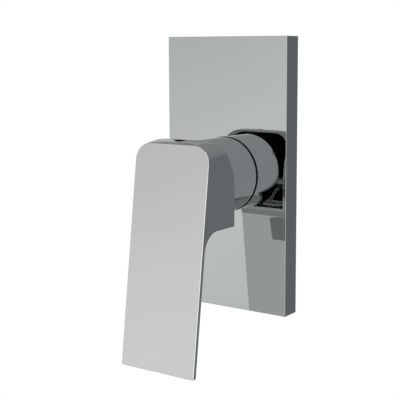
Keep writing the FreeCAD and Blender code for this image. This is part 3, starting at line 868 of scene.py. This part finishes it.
def square_run(half, radius):
    """A square with rounded corners, run round once, as x and z with the normal at each point."""
    spin = (np.arange(4)[:, None] * np.pi / 2 + hub_corner).reshape(-1)
    normals = np.stack([np.cos(spin), np.sin(spin)], axis=-1)
    quarter = np.repeat(np.arange(4), len(hub_corner)) * np.pi / 2 + np.pi / 4
    centres = (half - radius) * np.sqrt(2) * np.stack([np.cos(quarter), np.sin(quarter)], axis=-1)
    return centres + radius * normals, normals


def run_at(run, out):
    """Points of a run of x and z at a distance out."""
    return np.stack([run[:, 0], np.broadcast_to(out, run[:, 0].shape), run[:, 1]], axis=-1)


hub_run, hub_walls = square_run(hub_half, hub_edge_radius)
socket_run = square_run(socket_half, socket_edge_radius)[0]
hub_walls = run_at(hub_walls, 0.0)
hub_root = run_at(hub_run, face_at(hub_run[:, 1]) - inner_face_setback + hub_sink)
hub_end = run_at(hub_run, hub_back)
socket_mouth = run_at(socket_run, hub_back)
socket_end = run_at(socket_run, socket_front)
handle_patches += [
    band(hub_root, hub_end, hub_walls, dim_shade_slot, closed=True),
    band(hub_end, socket_mouth, (0, -1.0, 0), dim_shade_slot, closed=True),
    band(socket_mouth, socket_end, -hub_walls, dim_shade_slot, closed=True),
    cover(socket_end, (0, -1.0, 0), dim_shade_slot),
    cover(hub_root, face_normal, dim_shade_slot),
]

# Chrome outside. Inside, painted shade: dim chrome on the hollow's floor that darkens upwards into
# near-black, matt painted shade.
dim_shade_below = -11.0
dark_shade_above = -6.0
dark_shade_roughness = 0.5
handle_chrome = chrome_finish("handle_chrome", (0.657, 0.671, 0.664), (0.666, 0.680, 0.673))
# Painted shade inside the hollow: dim chrome low down, near black from the floor upwards.
hollow_dim_shade = finish_of("hollow_dim_shade", (0.38, 0.39, 0.395), (0.42, 0.43, 0.435), cloud_scale=60.0,
                         grain_scale=200.0, roughness=(0.0005, 0.001), metallic=1.0, bump=0.0001)
tree, shader = nodes_of(hollow_dim_shade)
dark_shade_mask = add_node(tree, "ShaderNodeMapRange", [
    ("Value", axes_of(tree)["Z"]), ("From Min", dim_shade_below * mm), ("From Max", dark_shade_above * mm),
]).outputs["Result"]
dark_shade_colour = clouded(tree, (0.006, 0.006, 0.007), (0.012, 0.012, 0.013), scale=120.0)
mix_in(tree, shader["Base Color"], dark_shade_colour, dark_shade_mask, "RGBA")
mix_in(tree, shader["Roughness"], dark_shade_roughness, dark_shade_mask, "FLOAT")
feed(tree, shader["Metallic"], maths(tree, "SUBTRACT", 1.0, dark_shade_mask))
feed(tree, shader["Specular IOR Level"], 0.1)
# Near-black inside of the boss's roof, lip and screw hole: painted shade.
hollow_dark_shade = finish_of("hollow_dark_shade", (0.012, 0.012, 0.013), (0.022, 0.022, 0.023), cloud_scale=120.0,
                         grain_scale=1200.0, roughness=(0.35, 0.50), bump=0.004)
handle = make_piece("lever_handle", handle_patches, [handle_chrome, hollow_dim_shade, hollow_dark_shade])
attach(handle, "lever")
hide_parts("handle")


# Studio: a pale floor below, grey cards and one bright strip that only polished
# metal sees, two large soft lamps, and white all round.
def studio_card(name, corners, stops, tint=(1.0, 1.0, 1.0), lean=0.0):
    """A flat four-cornered card whose tone follows height, plus x times a lean: stops give (height, tone)
    from low to high."""
    bottom = stops[0][0]
    top = stops[-1][0]
    material = new_material(name)
    tree = material.node_tree
    tree.nodes.clear()
    axes = axes_of(tree)
    leaning = maths(tree, "MULTIPLY_ADD", axes["X"], lean, axes["Z"])
    span = add_node(tree, "ShaderNodeMapRange", [("Value", leaning), ("From Min", bottom), ("From Max", top)])
    ramp = add_node(tree, "ShaderNodeValToRGB", [("Fac", span.outputs["Result"])])
    glow = add_node(tree, "ShaderNodeEmission", [("Color", ramp.outputs["Color"])])
    add_node(tree, "ShaderNodeOutputMaterial", [("Surface", glow.outputs["Emission"])])
    while len(ramp.color_ramp.elements) < len(stops):
        ramp.color_ramp.elements.new(0.5)
    for element, (level, tone) in zip(ramp.color_ramp.elements, stops):
        element.position = (level - bottom) / (top - bottom)
        element.color = (tone * tint[0], tone * tint[1], tone * tint[2], 1)
    material.cycles.emission_sampling = "NONE"
    mesh = bpy.data.meshes.new(name)
    mesh.from_pydata(corners, [], [(0, 1, 2, 3)])
    mesh.materials.append(material)
    card = add_object(name, mesh)
    card.visible_camera = False
    card.visible_diffuse = False
    card.visible_shadow = False


def upright(left, right, y, bottom, top):
    """Corners of a card that stands square to the mixer's axis."""
    return [(left, y, bottom), (right, y, bottom), (right, y, top), (left, y, top)]


studio_card("card_front_left", upright(-1.6, -0.25, -0.9, -0.8, 1.8),
            [(-0.6, 0.55), (-0.28, 0.55), (-0.18, 0.83), (-0.02, 0.888), (0.15, 0.835), (0.23, 0.79),
             (0.30, 0.745), (0.36, 0.74), (0.40, 0.46), (0.66, 0.46), (0.76, 0.64), (0.86, 0.62),
             (0.92, 0.47), (1.04, 0.47), (1.12, 0.62), (1.3, 0.62), (1.7, 0.5), (2.2, 0.4)], lean=-0.33)
studio_card("card_front", upright(-0.25, 0.9, -0.9, -1.0, 1.2), [(-1.0, 0.475), (1.2, 0.475)])
studio_card("card_low",
            [(-0.45, -0.88, -1.05), (0.9, -0.88, -1.05), (0.9, -0.88, -0.749), (-0.45, -0.88, -0.430)],
            [(-1.05, 0.20), (-0.430, 0.20)], tint=(0.95, 1.0, 1.03))
studio_card("card_back_right", upright(0.15, 1.4, 0.6, -0.8, 1.5),
            [(-0.8, 0.187), (0.08, 0.187), (0.18, 0.192), (0.30, 0.25), (0.5, 0.26), (1.5, 0.26)],
            tint=(0.93, 1.0, 1.06))
studio_card("card_back_left", upright(-1.4, -0.1, 0.6, -0.575, 0.0), [(-0.575, 0.78), (0.0, 0.78)])
studio_card("card_back_high", upright(-1.6, 0.16, 0.61, 0.0, 1.5),
            [(0.0, 0.54), (0.4, 0.54), (0.5, 0.30), (1.08, 0.30), (1.2, 0.62), (1.5, 0.62)])
studio_card("card_above", [(-1.6, -0.75, 1.4), (1.0, -0.75, 1.4), (1.0, 0.62, 1.401), (-1.6, 0.62, 1.401)],
            [(1.4, 0.22), (1.401, 0.22)])
studio_card("card_edge",
            [(1.114, -0.950, -0.45), (1.206, -0.820, -0.45), (1.206, -0.820, 0.16), (1.114, -0.950, 0.16)],
            [(-0.45, 1.6), (0.06, 1.6), (0.16, 1.0)])
studio_card("card_below", [(-1.3, -0.3, -0.62), (0.6, -0.3, -0.62), (0.6, 0.6, -0.621), (-1.3, 0.6, -0.621)],
            [(-0.621, 0.41), (-0.62, 0.41)])

floor_height = -1.1
floor_radius = 0.9
floor_shares = np.array([0.02, 0.3, 0.6, 1.0])
fade_start = 1.12
fade_end = 1.41
spin = np.linspace(0, 2 * np.pi, round_steps, endpoint=False)
floor_rings = floor_shares[:, None] * floor_radius
floor_points = np.stack(np.broadcast_arrays(
    floor_rings * np.cos(spin), floor_rings * np.sin(spin), floor_height), axis=-1)
floor_mesh = bpy.data.meshes.new("floor")
floor_mesh.from_pydata(
    floor_points.reshape(-1, 3).tolist(), [],
    grid_faces(len(floor_shares), round_steps, closed=True).tolist() + [list(range(round_steps))])
floor = add_object("floor", floor_mesh)
floor_paint = finish_of("pale_floor", (0.84, 0.84, 0.84), (0.86, 0.86, 0.86), cloud_scale=3.0,
                        grain_scale=60.0, roughness=(0.7, 0.85), bump=0.1)
tree = floor_paint.node_tree
place = add_node(tree, "ShaderNodeTexCoord")
reach = add_node(tree, "ShaderNodeVectorMath", [(0, place.outputs["Object"])], operation="LENGTH")
fade = add_node(tree, "ShaderNodeMapRange", [
    ("Value", reach.outputs["Value"]), ("From Min", fade_start), ("From Max", fade_end)],
    interpolation_type="SMOOTHSTEP")
clear = add_node(tree, "ShaderNodeBsdfTransparent")
blend = add_node(tree, "ShaderNodeMixShader", [
    (0, fade.outputs["Result"]), (1, tree.nodes["Principled BSDF"].outputs[0]), (2, clear.outputs[0])])
feed(tree, tree.nodes["Material Output"].inputs["Surface"], blend.outputs[0])
floor_mesh.materials.append(floor_paint)


def soft_lamp(name, place, target, size, power):
    """A square area lamp that faces a point."""
    data = bpy.data.lights.new(name, "AREA")
    data.size = size
    data.energy = power
    lamp = add_object(name, data)
    lamp.location = place
    aim = np.array(target) - np.array(place)
    level = math.hypot(aim[0], aim[1])
    lamp.rotation_euler = (math.atan2(level, -aim[2]), 0, math.atan2(aim[1], aim[0]) - math.pi / 2)
    lamp.visible_glossy = False
    lamp.visible_camera = False


soft_lamp("key_lamp", (-0.7, -0.9, 0.9), target=(0, 0, 0), size=0.8, power=6.0)
soft_lamp("fill_lamp", (0.9, 0.8, 0.7), target=(0, 0, 0), size=0.8, power=5.0)

world = bpy.data.worlds.new("studio")
bpy.context.scene.world = world
world.use_nodes = True
tree = world.node_tree
tree.nodes.clear()
path = add_node(tree, "ShaderNodeLightPath").outputs
shiny = maths(tree, "MAXIMUM", path["Is Glossy Ray"], path["Is Transmission Ray"])
seen = maths(tree, "MAXIMUM", shiny, path["Is Camera Ray"])
soft = add_node(tree, "ShaderNodeBackground", [("Color", (0.55, 0.55, 0.55, 1))])
white = add_node(tree, "ShaderNodeBackground", [("Color", (1, 1, 1, 1))])
blend = add_node(tree, "ShaderNodeMixShader", [(0, seen), (1, soft.outputs[0]), (2, white.outputs[0])])
add_node(tree, "ShaderNodeOutputWorld", [("Surface", blend.outputs[0])])


# Camera: to the right of the plate and a little above it, solved from the
# edges of plate and lever together with their mirror images in the plate.
frame_width = 400
focal_pixels = 943.62
picture_centre = (232.08, 180.67)
looks_down = math.radians(7.79)
turned_left = math.radians(33.66)
camera_data = bpy.data.cameras.new("camera")
camera = add_object("camera", camera_data)
camera.location = (0.33703, -0.51193, 0.07801)
camera.rotation_euler = (math.pi / 2 - looks_down, 0, turned_left)
camera_data.sensor_width = 36
camera_data.lens = focal_pixels / frame_width * camera_data.sensor_width
camera_data.shift_x = 0.5 - picture_centre[0] / frame_width
camera_data.shift_y = picture_centre[1] / frame_width - 0.5
camera_data.clip_start = 0.01
camera_data.clip_end = 20
bpy.context.scene.camera = camera

bpy.context.scene.view_settings.view_transform = "Standard"
